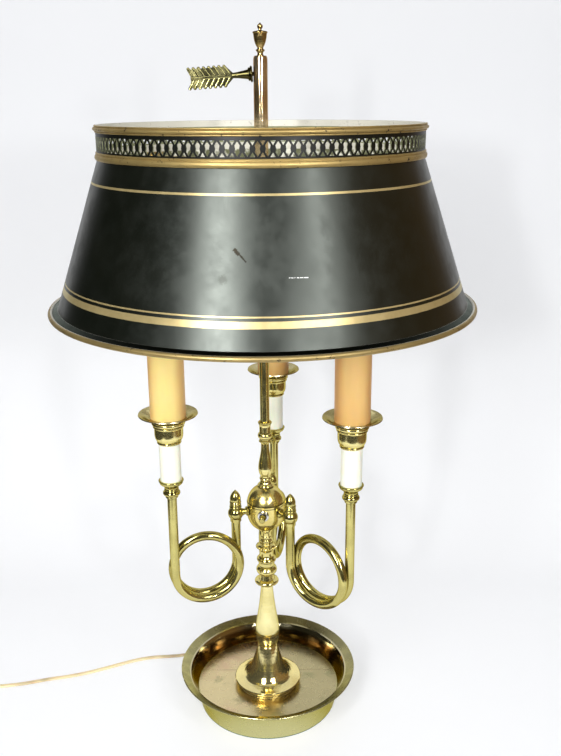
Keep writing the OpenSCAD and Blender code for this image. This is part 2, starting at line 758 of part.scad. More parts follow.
// the shaft's rib on a thin vane, and raised barbs that slant back from it on both sides
module fletching() {
    rib_r = 2;
    plate_t = 2;
    barb_r = 1.4;
    lean = 33;
    reach = (fletch_w - barb_r) / cos(lean);
    pitch = (fletch_len - 4.6 - reach * sin(lean)) / (barb_count - 1);
    vane_w = fletch_w - barb_r - 0.3;
    translate([0, 0, fletch_s]) {
        translate([0, plate_t / 2, 0]) rotate([90, 0, 0]) linear_extrude(plate_t) polygon([
            [1.8, 0], [vane_w, 6.5], [vane_w, fletch_len - 0.5], [1, fletch_len - 4],
            [-1, fletch_len - 4], [-vane_w, fletch_len - 2], [-vane_w, 6.5], [-1.8, 0]]);
        for (side = [0, 1], i = [0:barb_count - 1]) mirror([side, 0, 0])
            translate([0, 0, 2.6 + pitch * i]) rotate([0, 90 - lean, 0]) {
                translate([0, 0, reach]) sphere(r = barb_r, $fn = 24);
                rod(barb_r, 0, reach);
            }
        rod(rib_r, -2, fletch_len - 3.6);
    }
}

module arrow_key() {
    color(brass) at_key() {
        turned(concat(
            [[key_shank_r, rod_r + 0.3], [key_shank_r, key_boss_s], [key_boss_r - 1, key_boss_s]],
            bead(key_boss_r, key_boss_s + 1.1, 1.8, 0.8), [[key_boss_r - 1.6, key_boss_s + 2.3]],
            bead(key_boss_r - 1.3, key_stem_s - 1, 1.6, 0.7),
            [[4.3, key_stem_s], [2.8, key_stem_s + key_stem_l * 0.6], [2.2, key_stem_s + key_stem_l]]));
        fletching();
    }
}

// ---- the shade and its spider ----

cone_slope = (shade_foot_r - shade_top_r) / (cone_top_z - cone_foot_z);
function cone_outer(z) = shade_top_r + (cone_top_z - z) * cone_slope;
function cone_inner(z) = cone_outer(z) - shade_t;

module spider() {
    foot_t = 1.4;
    foot_h = 13;
    foot_angle = 9;
    arm_mid_z = hub_z + hub_t / 2;
    top = arm_mid_z + foot_h / 2 - 1.2;
    low = top - foot_h;
    color(brass) {
        difference() {
            rod(hub_r, hub_z, hub_z + hub_t);
            rod(sleeve_tenon_r + fit_gap, hub_z - 1, hub_z + hub_t + 1);
        }
        for (i = [0:2]) at_bearing(arm_bearing + 60 + 120 * i) {
            translate([0, 0, arm_mid_z]) rotate([-90, 0, 0])
                rod(spider_arm_r, hub_r - 2, cone_inner(arm_mid_z) - foot_t / 2 - foot_play);
            rotate([0, 0, 90 - foot_angle / 2]) rotate_extrude(angle = foot_angle) polygon([
                [cone_inner(low) - foot_play, low], [cone_inner(top) - foot_play, top],
                [cone_inner(top) - foot_play - foot_t, top], [cone_inner(low) - foot_play - foot_t, low]]);
        }
    }
}

module spider_nut() {
    color(brass) hex_nut(pipe_nut_w, sleeve_tenon_r + seat_gap,
                         hub_z - turn_gap - spider_nut_t, spider_nut_t);
}

// the turned-out flange that the rim is rolled round
module flange_section() {
    polygon([
        [shade_foot_r - shade_t - 0.3, cone_foot_z - 0.4], [rim_r - 0.8, rim_z - 0.2],
        [rim_r - 0.5, rim_z + shade_t - 0.2], [shade_foot_r, cone_foot_z + 0.5],
        [shade_foot_r - shade_t, cone_foot_z + 0.5]]);
}

module shade_cone() {
    color(tole) rotate_extrude($fn = 180) {
        polygon([
            [shade_foot_r - shade_t, cone_foot_z], [shade_foot_r, cone_foot_z],
            [shade_top_r, cone_top_z], [shade_top_r - shade_t, cone_top_z]]);
        flange_section();
    }
}

module rim_roll() {
    color(gilt) rotate_extrude($fn = 180) difference() {
        translate([rim_r, rim_z]) circle(r = rim_roll_r, $fn = 32);
        flange_section();
    }
}

// a half-round band on the outside of the shade's wall
module middle_ring() {
    wall = shade_top_r;
    color(gilt) rotate_extrude($fn = 180) polygon(concat(
        [[wall - shade_t, cone_top_z], [wall + 0.4, cone_top_z]],
        arc([wall - 1.6, cone_top_z + ring_h * 0.34], 3.6, -38, 38, 8),
        [[wall + 0.5, cone_top_z + ring_h * 0.71]],
        arc([wall + 0.3, cone_top_z + ring_h * 0.86], 0.8, -80, 80, 5),
        [[wall, ring_top_z], [wall - shade_t, ring_top_z]]));
}

module top_roll() {
    wall = shade_top_r;
    h = top_roll_h;
    color(gilt) translate([0, 0, gallery_top_z]) rotate_extrude($fn = 180) polygon(concat(
        [[wall - shade_t, 0], [wall, 0]], bead(wall + 0.9, 0.8, 1.4, 0.7),
        bead(wall + 2.5, h / 2, h * 0.5, 1.8), [[wall + 0.8, h - 1.5]], bead(wall + 1.2, h - 0.7, 1.2, 0.6),
        [[wall - 0.2, h], [wall - shade_t, h - 0.3]]));
}

// a lattice of pointed ovals, with a triangle above and below between each pair
module gallery() {
    pitch = 360 / oval_count;
    mid_z = ring_top_z + gallery_h * 0.45;
    waist = 0.75;
    half_w = oval_w / 2;
    half_h = oval_h / 2;
    tri_h = oval_h * 0.31;
    color(tole) difference() {
        pipe(shade_top_r, shade_top_r - shade_t, ring_top_z, gallery_top_z, $fn = 180);
        for (i = [0:oval_count - 1]) {
            rotate([0, 0, pitch * i]) translate([shade_top_r - 3, 0, mid_z])
                rotate([90, 0, 90]) linear_extrude(6) polygon([
                    [0, -half_h], [half_w, -half_h * 0.45], [half_w * waist, 0], [half_w, half_h * 0.45],
                    [0, half_h], [-half_w, half_h * 0.45], [-half_w * waist, 0], [-half_w, -half_h * 0.45]]);
            for (side = [-1, 1])
                rotate([0, 0, pitch * (i + 0.5)])
                    translate([shade_top_r - 3, 0, mid_z + side * (half_h + 0.4)]) rotate([90, 0, 90])
                        linear_extrude(6) polygon([[-half_w, 0], [half_w, 0], [0, -side * tri_h]]);
        }
    }
}

// ---- the cord ----

module cord_bushing() {
    bush_in = tray_foot_r - 9;
    bush_out = tray_foot_r + 12;
    collar_s = tray_foot_r + 2.4;
    color("#6e5a3a") translate([0, 0, cord_exit_z]) rotate([0, 90, cord_exit_bearing]) difference() {
        turned([[cord_hole_r - seat_gap, bush_in], [cord_hole_r - seat_gap, collar_s],
                [cord_hole_r + 0.6, collar_s], [cord_hole_r + 0.4, collar_s + 2.2],
                [cord_w / 2 + 0.7, bush_out]]);
        rod(cord_w / 2 + 0.15, bush_in - 1, bush_out + 1);
    }
}

// the unit direction of the route at its point i
function heading(route, i) =
    let (a = route[max(i - 1, 0)], b = route[min(i + 1, len(route) - 1)]) (b - a) / norm(b - a);

// the corners of the cord's flat section at the route's point i
function cord_ring(route, i, w, t, sides) =
    let (d = heading(route, i), side = cross([0, 0, 1], d), across = side / norm(side), up = cross(d, across))
    [for (k = [0:sides - 1]) let (a = 360 * (k + 0.5) / sides)
        route[i] + w / 2 * cos(a) * across + t / 2 * sin(a) * up];

module swept_cord(route, w, t, sides) {
    rings = len(route);
    points = [for (i = [0:rings - 1]) each cord_ring(route, i, w, t, sides)];
    walls = [for (i = [0:rings - 2], k = [0:sides - 1])
        let (a = i * sides + k, b = i * sides + (k + 1) % sides)
        each [[a, a + sides, b], [b, a + sides, b + sides]]];
    ends = [[for (k = [0:sides - 1]) k],
            [for (k = [sides - 1:-1:0]) (rings - 1) * sides + k]];
    polyhedron(points, concat(walls, ends));
}

module cord() {
    color(cord_gold) swept_cord(cord_route, cord_w, cord_t, 8);
}

module cord_coil() {
    half_w = coil_turns_wide * cord_w / 2;
    color(cord_gold) translate([coil_x, coil_y, 0]) rotate_extrude()
        translate([coil_d / 2 - half_w, 0]) square([2 * half_w, coil_h]);
}

// the coil's top carries the plug, blades outward
module plug() {
    plug_l = 30;
    plug_w = 22;
    plug_t = 14;
    blade = [15.5, 6.3, 1.5];
    color("#e8dcc0") translate([coil_x - 6 - plug_l / 2, coil_y - (coil_d + plug_w) / 2, coil_h])
        cube([plug_l, plug_w, plug_t]);
    color(brass) translate([coil_x - 6, coil_y - coil_d / 2, coil_h + plug_t / 2]) for (side = [-1, 1])
        translate([-plug_l / 2 - blade[0], side * 6.35 - blade[2] / 2, -blade[1] / 2])
            cube([blade[0] + tiny, blade[2], blade[1]]);
}

tray();
base_weight();
base_felt();
pipe_nuts();
threaded_pipe();
trumpet_foot();
tapered_stem();
stem_collar();
beaded_spool();
necking();
cluster_body();
cluster_cap();
switch_body();
switch_nut();
switch_knob();
nipple_nuts();
arm_tube(0);  // arm_tube_back
arm_tube(1);  // arm_tube_right
arm_tube(2);  // arm_tube_left
arm_ball(0);  // arm_ball_back
arm_ball(1);  // arm_ball_right
arm_ball(2);  // arm_ball_left
arm_acorns();
candle_collar(0);  // candle_collar_back
candle_collar(1);  // candle_collar_right
candle_collar(2);  // candle_collar_left
candle_pipes();
candle_tube(0);  // candle_tube_back
candle_tube(1);  // candle_tube_right
candle_tube(2);  // candle_tube_left
candle_cup(0);  // candle_cup_back
candle_cup(1);  // candle_cup_right
candle_cup(2);  // candle_cup_left
drip_pan(0);  // drip_pan_back
drip_pan(1);  // drip_pan_right
drip_pan(2);  // drip_pan_left
amber_sleeve(0);  // amber_sleeve_back
amber_sleeve(1);  // amber_sleeve_right
amber_sleeve(2);  // amber_sleeve_left
socket(0);  // socket_back
socket(1);  // socket_right
socket(2);  // socket_left
vase_column();
shade_rod();
finial();
shade_sleeve();
arrow_key();
spider();
spider_nut();
shade_cone();
gallery();
top_roll();
middle_ring();
rim_roll();
cord_bushing();
cord();
cord_coil();
plug();
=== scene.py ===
"""The looks of a bouillotte lamp: brass, black tole with gold lines, amber candle sleeves, and its cord."""

import math

import bpy
from mathutils import Matrix, Vector


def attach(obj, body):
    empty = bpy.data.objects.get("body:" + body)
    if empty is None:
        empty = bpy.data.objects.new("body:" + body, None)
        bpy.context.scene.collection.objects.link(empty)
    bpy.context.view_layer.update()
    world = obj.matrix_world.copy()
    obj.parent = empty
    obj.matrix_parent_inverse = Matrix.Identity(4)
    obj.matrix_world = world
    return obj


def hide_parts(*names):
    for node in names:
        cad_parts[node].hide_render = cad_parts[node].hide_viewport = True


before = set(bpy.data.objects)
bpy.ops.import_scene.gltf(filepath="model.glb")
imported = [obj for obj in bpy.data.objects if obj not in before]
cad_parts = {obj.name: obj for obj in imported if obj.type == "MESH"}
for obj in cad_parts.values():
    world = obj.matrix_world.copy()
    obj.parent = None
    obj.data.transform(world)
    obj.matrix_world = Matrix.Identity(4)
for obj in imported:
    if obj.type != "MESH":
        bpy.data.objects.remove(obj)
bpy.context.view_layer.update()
ARMS = ("back", "right", "left")


# ---- small helpers for nodes ----

def is_socket(value):
    return isinstance(value, bpy.types.NodeSocket)


class Nodes:
    """An emptied node tree, and short ways to add nodes to it."""

    def __init__(self, tree):
        self.tree = tree
        tree.nodes.clear()

    def new(self, kind):
        return self.tree.nodes.new("ShaderNode" + kind)

    def link(self, source, target):
        self.tree.links.new(source, target)

    def feed(self, socket, value):
        """Puts a plain value on a socket, or links it when the value is another node's output."""
        if is_socket(value):
            self.link(value, socket)
        else:
            socket.default_value = value

    def math(self, operation, a, b=0.0):
        node = self.new("Math")
        node.operation = operation
        self.feed(node.inputs[0], a)
        self.feed(node.inputs[1], b)
        return node.outputs[0]

    def both(self, a, b):
        """The product of two masks or numbers."""
        return self.math("MULTIPLY", a, b)

    def either(self, a, b):
        """The larger of two masks or numbers."""
        return self.math("MAXIMUM", a, b)

    def mix(self, factor, a, b):
        """A colour between a and b."""
        node = self.new("Mix")
        node.data_type = "RGBA"
        self.feed(node.inputs["Factor"], factor)
        self.feed(node.inputs["A"], a if is_socket(a) else (*a, 1))
        self.feed(node.inputs["B"], b if is_socket(b) else (*b, 1))
        return node.outputs["Result"]

    def span(self, value, low, high, to_low=0.0, to_high=1.0):
        """value from low to high, smoothly mapped to to_low and to_high."""
        node = self.new("MapRange")
        node.interpolation_type = "SMOOTHSTEP"
        self.feed(node.inputs["Value"], value)
        node.inputs["From Min"].default_value = low
        node.inputs["From Max"].default_value = high
        node.inputs["To Min"].default_value = to_low
        node.inputs["To Max"].default_value = to_high
        return node.outputs[0]

    def opposite(self, mask):
        """1 where the mask is 0, and 0 where it is 1."""
        return self.span(mask, 0, 1, 1, 0)

    def above(self, value, edge, soft):
        """1 where value is over an edge, and 0 under it."""
        return self.span(value, edge - soft, edge + soft)

    def below(self, value, edge, soft):
        """1 where value is under an edge, and 0 over it."""
        return self.span(value, edge - soft, edge + soft, 1, 0)

    def between(self, value, low, high, soft):
        """1 where value lies between low and high, with soft edges."""
        return self.both(self.above(value, low, soft), self.below(value, high, soft))

    def blend(self, factor, first, second):
        """A closure between two others."""
        node = self.new("MixShader")
        self.feed(node.inputs[0], factor)
        self.link(first, node.inputs[1])
        self.link(second, node.inputs[2])
        return node.outputs[0]


class Shader(Nodes):
    """One material's node tree, with a Principled BSDF already linked to its output."""

    def __init__(self, name):
        self.material = bpy.data.materials.new(name)
        self.material.use_nodes = True
        super().__init__(self.material.node_tree)
        self.surface = self.new("BsdfPrincipled")
        self.output = self.new("OutputMaterial")
        self.link(self.surface.outputs[0], self.output.inputs["Surface"])
        coordinates = self.new("TexCoord")
        self.place = coordinates.outputs["Object"]
        self.normal = coordinates.outputs["Normal"]

    def set(self, **values):
        """Sets the Principled BSDF's sockets, with underscores for the spaces in their names."""
        for name, value in values.items():
            self.feed(self.surface.inputs[name.replace("_", " ")], value)

    def split(self, vector):
        """The three parts of a vector."""
        node = self.new("SeparateXYZ")
        self.link(vector, node.inputs[0])
        return node.outputs[0], node.outputs[1], node.outputs[2]

    def axes(self):
        """The three coordinates of the shaded point on its piece, in metres."""
        return self.split(self.place)

    def radius(self):
        """The shaded point's distance from the lamp's axis."""
        x, y, _ = self.axes()
        return self.math("SQRT", self.math("ADD", self.both(x, x), self.both(y, y)))

    def stretched(self, x, y, z):
        """The shaded point with each axis scaled."""
        node = self.new("Mapping")
        self.link(self.place, node.inputs["Vector"])
        node.inputs["Scale"].default_value = (x, y, z)
        return node.outputs[0]

    def noise(self, scale, detail=2.0, where=None, roughness=0.5):
        node = self.new("TexNoise")
        self.link(where or self.place, node.inputs["Vector"])
        node.inputs["Scale"].default_value = scale
        node.inputs["Detail"].default_value = detail
        node.inputs["Roughness"].default_value = roughness
        return node.outputs["Fac"]

    def bump(self, height, strength, distance):
        node = self.new("Bump")
        node.inputs["Strength"].default_value = strength
        node.inputs["Distance"].default_value = distance
        self.link(height, node.inputs["Height"])
        self.link(node.outputs[0], self.surface.inputs["Normal"])

    def crevice(self, distance):
        """1 in the open, falling towards 0 in creases narrower than the distance."""
        node = self.new("AmbientOcclusion")
        node.samples = 8
        node.inputs["Distance"].default_value = distance
        return node.outputs["AO"]

    def inside(self):
        """1 where the surface faces the lamp's axis, however far its piece has turned."""
        flat = self.new("VectorMath")
        flat.operation = "MULTIPLY"
        self.link(self.place, flat.inputs[0])
        flat.inputs[1].default_value = (1, 1, 0)
        outward = self.new("VectorMath")
        outward.operation = "DOT_PRODUCT"
        self.link(flat.outputs[0], outward.inputs[0])
        self.link(self.normal, outward.inputs[1])
        return self.span(outward.outputs["Value"], -0.01, 0.01, 1, 0)

    def mark(self, x, z, angle, half_long, half_wide, soft):
        """1 in a small ragged stroke on the lamp's front, centred at x and z and tilted by degrees."""
        here_x, here_y, here_z = self.axes()
        dx = self.math("SUBTRACT", here_x, x)
        dz = self.math("SUBTRACT", here_z, z)
        cosine = math.cos(math.radians(angle))
        sine = math.sin(math.radians(angle))
        along = self.math("ADD", self.both(dx, cosine), self.both(dz, sine))
        across = self.math("SUBTRACT", self.both(dz, cosine), self.both(dx, sine))
        ragged = self.both(self.math("SUBTRACT", self.noise(900, 3), 0.5), half_wide * 2)
        across = self.math("ADD", across, ragged)
        stroke = self.both(self.between(along, -half_long, half_long, soft),
                           self.between(across, -half_wide, half_wide, soft))
        return self.both(stroke, self.math("LESS_THAN", here_y, 0.0))


def darkened(colour, share):
    """A colour with each part times a share."""
    return tuple(part * share for part in colour)


def dress(material, *nodes):
    """Puts one material on CAD nodes or new pieces."""
    for node in nodes:
        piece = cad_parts[node] if isinstance(node, str) else node
        piece.data.materials.clear()
        piece.data.materials.append(material)


# ---- camera ----

def make_camera():
    """The photograph's camera, close in front of the lamp and looking down at it."""
    place = (0.0164, -0.846, 0.643)
    down = math.radians(17.49)
    roll = math.radians(-0.38)
    data = bpy.data.cameras.new("camera")
    data.sensor_fit = "VERTICAL"
    data.sensor_height = 36
    data.lens = 41.76
    data.clip_start = 0.01
    camera = bpy.data.objects.new("camera", data)
    bpy.context.scene.collection.objects.link(camera)
    camera.matrix_world = (Matrix.Translation(place)
                           @ Matrix.Rotation(math.pi / 2 - down, 4, "X")
                           @ Matrix.Rotation(roll, 4, "Z"))
    bpy.context.scene.camera = camera


# ---- floor, background and lights ----

WHITE = (0.95, 0.955, 0.97)
PAPER = (0.88, 0.89, 0.91, 1)
GLOW_LOW = (0.97, 0.97, 0.98)                # the backdrop's own light near the floor
GLOW_HIGH = (0.64, 0.64, 0.655)              # and above it
GLOW_SEEN = 0.5                              # its share in what the camera sees, the rest being lit paper
GLOW_MIRRORED = 0.85                         # its share in what metal mirrors
FILL_COLOUR = (0.93, 0.96, 1)
FILL_STRENGTH = 0.27
ROOM = (0.020, 0.019, 0.013)                 # the dim room that metal mirrors
ROOM_WARM = (0.18, 0.105, 0.04)              # its right side
ROOM_CEILING = (0.035, 0.033, 0.025)


def sweep_mesh():
    """A level floor that ends a little in front of the lamp and bends up into a wall behind it."""
    half_width = 0.56
    front_y = -0.6
    middle_y = -0.3
    wall_y = 0.44
    bend_r = 0.2
    bend_steps = 12
    top_z = 1.5
    profile = [(front_y, 0.0), (middle_y, 0.0)]
    for i in range(bend_steps + 1):
        angle = math.pi / 2 * i / bend_steps
        profile.append((wall_y - bend_r + bend_r * math.sin(angle), bend_r - bend_r * math.cos(angle)))
    profile.append((wall_y, top_z))
    verts = [(x, y, z) for y, z in profile for x in (-half_width, half_width)]
    faces = [(2 * i, 2 * i + 1, 2 * i + 3, 2 * i + 2) for i in range(len(profile) - 1)]
    mesh = bpy.data.meshes.new("backdrop")
    mesh.from_pydata(verts, [], faces)
    mesh.shade_smooth()
    return mesh


def paper():
    """White paper that glows for the camera and for metal, and is clear to a camera behind or below it."""
    shader = Shader("paper")
    shader.set(Base_Color=PAPER, Roughness=0.7)
    _, y, z = shader.axes()
    glow = shader.new("Emission")
    shader.link(shader.mix(shader.span(z, 0.05, 0.75), GLOW_LOW, GLOW_HIGH), glow.inputs["Color"])
    ray = shader.new("LightPath").outputs
    seen = shader.either(ray["Is Camera Ray"], ray["Is Transmission Ray"])
    around_lamp = shader.span(shader.radius(), 0.28, 0.5, 1, 0.16)
    lit = shader.either(shader.span(y, -0.12, 0.05), around_lamp)
    mirrored = shader.both(ray["Is Glossy Ray"], shader.both(lit, GLOW_MIRRORED))
    share = shader.either(shader.both(seen, GLOW_SEEN), mirrored)
    sheet = shader.blend(share, shader.surface.outputs[0], glow.outputs[0])
    behind = shader.both(ray["Is Camera Ray"], shader.new("NewGeometry").outputs["Backfacing"])
    sheet = shader.blend(behind, sheet, shader.new("BsdfTransparent").outputs[0])
    shader.link(sheet, shader.output.inputs["Surface"])
    return shader.material


def make_backdrop():
    """The sweep of paper that the lamp stands on."""
    sheet = bpy.data.objects.new("backdrop", sweep_mesh())
    bpy.context.scene.collection.objects.link(sheet)
    sheet.data.materials.append(paper())


def make_world():
    """White to the camera, a soft even fill, and for reflections a dim room that is white behind the lamp."""
    world = bpy.data.worlds.new("studio")
    world.use_nodes = True
    bpy.context.scene.world = world
    nodes = Nodes(world.node_tree)

    def background(colour, strength=1.0):
        node = nodes.new("Background")
        nodes.feed(node.inputs["Color"], colour if is_socket(colour) else (*colour, 1))
        node.inputs["Strength"].default_value = strength
        return node.outputs[0]

    direction = nodes.new("SeparateXYZ")
    nodes.link(nodes.new("TexCoord").outputs["Generated"], direction.inputs[0])
    room = nodes.mix(nodes.span(direction.outputs["X"], 0.35, 0.9), ROOM, ROOM_WARM)
    room = nodes.mix(nodes.span(direction.outputs["Z"], 0.6, 0.95), room, ROOM_CEILING)
    room = nodes.mix(nodes.span(direction.outputs["Y"], 0.66, 0.86), room, WHITE)
    ray = nodes.new("LightPath").outputs
    light = nodes.blend(ray["Is Glossy Ray"], background(FILL_COLOUR, FILL_STRENGTH), background(room))
    light = nodes.blend(ray["Is Camera Ray"], light, background(WHITE))
    light = nodes.blend(ray["Is Transmission Ray"], light, background(WHITE))
    nodes.link(light, nodes.new("OutputWorld").inputs["Surface"])


def make_light(name, bearing, height, distance, size, power, aim=0.45):
    """A soft box at a bearing from the camera's side, positive to the right, aimed at a point on the axis."""
    data = bpy.data.lights.new(name, "AREA")
    data.shape = "RECTANGLE"
    data.size, data.size_y = size
    data.energy = power
    light = bpy.data.objects.new(name, data)
    bpy.context.scene.collection.objects.link(light)
    angle = math.radians(bearing)
    light.location = (distance * math.sin(angle), -distance * math.cos(angle), height)
    light.rotation_euler = (Vector((0, 0, aim)) - light.location).to_track_quat("-Z", "Y").to_euler()


make_camera()
bpy.context.scene.view_settings.view_transform = "Standard"
make_backdrop()
make_world()
make_light("key_light", bearing=-24.5, height=1.13, distance=1.4, size=(0.40, 0.75), power=15)
make_light("key_low", bearing=-17, height=0.77, distance=1.5, size=(0.09, 0.14), power=8)
make_light("fill_light", bearing=35, height=1.13, distance=1.4, size=(0.32, 0.7), power=6.5)
make_light("fill_low", bearing=21, height=0.76, distance=1.5, size=(0.09, 0.14), power=6)
make_light("key_high", bearing=-22, height=2.0, distance=1.3, size=(0.30, 0.7), power=4, aim=0.2)
make_light("fill_high", bearing=30, height=2.0, distance=1.3, size=(0.24, 0.7), power=2.5, aim=0.2)


# ---- brass ----

EDGE = (0.50, 0.43, 0.17)                    # brass seen at a grazing angle
CREASE_SHADE = 0.22                           # how light the painted shade in creases is, as a share of the deep tone
LINE_SHADE = 0.12                             # the same for a painted line of shade
DARK_X_SHADE = 0.3                                # and for the painted shade beyond dark_x
SEAM_Z = 0.2395                              # where the cluster's cap sits on the body
CAP_LIP = 0.0014                             # the height of the cap's lip over that seam
SEAM_SHADE_OFFSET = 0.0006                           # from an edge of the lip to the middle of its painted line of shade


def polished_brass(name, bright, deep, rough, edge=EDGE, crease=0.004, shade_free_ao=0.75, dark_x=None, shade_lines_z=()):
    """Lacquered brass with faint turning lines, cloudy tarnish and painted shade in its creases.

    It is painted dark beyond dark_x, a painted shade, and has a thin painted line of shade at each height
    given for a seam."""
    shader = Shader(name)
    cloud = shader.span(shader.noise(28, 4), 0.42, 0.70)
    # Painted shade: the colour darkens towards a dark tone where ambient occlusion finds a crease.
    out_of_crease_shade = shader.span(shader.crevice(crease), shade_free_ao - 0.6, shade_free_ao)
    colour = shader.mix(out_of_crease_shade, darkened(deep, CREASE_SHADE), shader.mix(cloud, bright, deep))
    x, _, z = shader.axes()
    # Painted shade: beyond dark_x the colour turns dark.
    if dark_x is not None:
        colour = shader.mix(shader.above(x, dark_x, 0.002), colour, darkened(deep, DARK_X_SHADE))
    # Painted shade: a thin dark line at each given height, along a seam.
    for height in shade_lines_z:
        line = shader.between(z, height - 0.0005, height + 0.0005, 0.0002)
        colour = shader.mix(line, colour, darkened(deep, LINE_SHADE))
    handled = shader.span(shader.noise(75, 5), 0.35, 0.75, rough - 0.04, rough + 0.09)
    shader.set(Metallic=0.95, Base_Color=colour, Specular_Tint=(*edge, 1),
               Roughness=shader.math("ADD", handled, shader.both(shader.noise(900, 3), 0.03)))
    turning = shader.noise(1.0, 2, shader.stretched(60, 60, 2600))
    shader.bump(turning, 0.12, 0.00012)
    return shader.material


# Where one part of the tray's finish ends and the next begins
TRAY_FLOOR_R = 0.0775
TRAY_FLOOR_Z = 0.01665
TRAY_WALL_Z = 0.0172
TRAY_LIP_R = 0.0873
TRAY_LIP_Z = 0.0365


def tray_brass():
    """Satin lip and outside, a mirror-like inner wall, and a brushed floor with pink and green patches;
    painted shade darkens the lip's back and right, the floor's right and the wall's foot, under a painted
    glint band at the wall's top.
    """
    shader = Shader("tray_brass")
    radius = shader.radius()
    x, y, z = shader.axes()
    floor = shader.both(shader.below(radius, TRAY_FLOOR_R, 0.001), shader.above(z, TRAY_FLOOR_Z, 0.00015))
    lip = shader.both(shader.above(radius, TRAY_LIP_R, 0.0005), shader.above(z, TRAY_LIP_Z, 0.0003))
    inner_wall = shader.both(shader.inside(), shader.above(z, TRAY_WALL_Z, 0.0002))
    inner_wall = shader.both(inner_wall, shader.opposite(lip))

    outer_tone = shader.mix(shader.noise(34, 4), (0.56, 0.54, 0.25), (0.64, 0.61, 0.31))

    lip_cloud = shader.span(shader.noise(70, 5), 0.35, 0.7)
    lip_tone = shader.mix(lip_cloud, (0.56, 0.52, 0.245), (0.40, 0.375, 0.19))
    # Painted shade: the lip darkens towards the back and towards the right.
    lip_tone = shader.mix(shader.span(y, 0.01, 0.085, 0, 0.75), lip_tone, (0.17, 0.135, 0.06))
    lip_right_shade = shader.mix(0.4, lip_tone, (0.22, 0.2, 0.12))
    lip_tone = shader.mix(shader.span(x, -0.09, 0.09), lip_tone, lip_right_shade)

    pink = shader.span(shader.noise(16, 5, roughness=0.6), 0.45, 0.62)
    green = shader.span(shader.noise(48, 6, roughness=0.65), 0.55, 0.68)
    scratch = shader.between(y, 0.0190, 0.0200, 0.0004)
    floor_tone = shader.mix(pink, (0.84, 0.71, 0.41), (0.84, 0.62, 0.40))
    # Painted shade: the floor darkens towards the right.
    floor_tone = shader.mix(shader.span(x, -0.055, 0.035), floor_tone, (0.57, 0.50, 0.285))
    floor_tone = shader.mix(shader.both(green, 0.5), floor_tone, (0.33, 0.34, 0.18))
    floor_tone = shader.mix(shader.both(scratch, 0.4), floor_tone, (0.22, 0.14, 0.08))

    # Painted shade low on the inner wall, and a paler band near the lip that whitens its glints, a painted
    # highlight.
    wall_shade_and_glint = shader.mix(shader.span(z, 0.0295, 0.0335), (0.17, 0.11, 0.045), (0.62, 0.56, 0.36))

    colour = shader.mix(floor, outer_tone, floor_tone)
    colour = shader.mix(lip, colour, lip_tone)
    colour = shader.mix(inner_wall, colour, wall_shade_and_glint)
    grain = shader.span(shader.noise(60, 3), 0.3, 0.8, 0.0, 0.1)
    smooth = shader.math("SUBTRACT", 0.24, shader.both(inner_wall, 0.16))
    shader.set(Metallic=1.0, Base_Color=colour, Specular_Tint=(*EDGE, 1),
               Roughness=shader.math("ADD", grain, smooth))
    shader.bump(shader.noise(1, 3, shader.stretched(60, 1600, 900)), 0.1, 0.0001)
    return shader.material


# ---- the shade ----

# The height and half width of each gold line
LINES = ((0.5745, 0.0009), (0.4845, 0.0006), (0.4786, 0.0027))
LINE_SOFT = 0.00015
WEAR_Z = 0.5815                              # over this height the cream paint inside is worn
FLARE_Z = 0.4592                             # under this height the outside is painted shade: black metal that mirrors nothing
# Strokes on the shade's front: x, height, tilt in degrees, half length, half width and soft edge
CHIP_HEAD = (-0.0170, 0.5325, -44, 0.0030, 0.0014, 0.0003)
CHIP_TAIL = (-0.0130, 0.5288, -48, 0.0052, 0.0006, 0.0003)
SMUDGE = (-0.0279, 0.5120, 20, 0.0032, 0.0030, 0.0014)
SCRATCH = (0.0310, 0.5130, -1, 0.0075, 0.00025, 0.0002)


def painted_tole():
    """Satin black paint with gold lines outside, and cream paint inside that is worn near the gallery."""
    shader = Shader("painted_tole")
    _, _, z = shader.axes()
    inside = shader.inside()

    line = None
    for height, half in LINES:
        here = shader.between(z, height - half, height + half, LINE_SOFT)
        line = here if line is None else shader.either(line, here)
    chip = shader.either(shader.mark(*CHIP_HEAD), shader.mark(*CHIP_TAIL))
    worn = shader.either(chip, shader.both(shader.mark(*SMUDGE), 0.35))
    scraped = shader.both(shader.mark(*SCRATCH), shader.span(shader.noise(700, 2), 0.36, 0.5))

    black = shader.mix(shader.span(shader.noise(14, 5), 0.35, 0.7),
                       (0.0010, 0.0018, 0.0008), (0.0028, 0.0034, 0.0018))
    gold = shader.mix(shader.noise(180, 3), (0.66, 0.53, 0.26), (0.52, 0.40, 0.17))
    outside = shader.mix(line, black, gold)
    outside = shader.mix(worn, outside, (0.022, 0.02, 0.015))
    outside = shader.mix(scraped, outside, (0.9, 0.9, 0.88))

    cream = shader.mix(shader.noise(30, 3), (0.80, 0.78, 0.68), (0.74, 0.72, 0.62))
    rubbed = shader.both(shader.above(z, WEAR_Z, 0.0025), shader.span(shader.noise(110, 4), 0.40, 0.56))
    cream = shader.mix(rubbed, cream, (0.13, 0.135, 0.06))

    # Metallic on the worn marks shows bare metal; on the flare under FLARE_Z it is a painted shade that
    # mirrors nothing.
    worn_and_shaded_flare = shader.either(worn, shader.both(shader.below(z, FLARE_Z, 0.0004), 0.9))
    worn_and_shaded_flare = shader.both(worn_and_shaded_flare, shader.opposite(inside))
    shader.set(Base_Color=shader.mix(inside, outside, cream),
               Metallic=shader.either(worn_and_shaded_flare, shader.both(line, 0.65)),
               Roughness=shader.span(shader.noise(55, 6, roughness=0.65), 0.35, 0.7, 0.31, 0.40),
               IOR=1.70, Specular_Tint=(0.92, 1.0, 0.91, 1))
    shader.bump(shader.noise(260, 4), 0.06, 0.0003)
    return shader.material


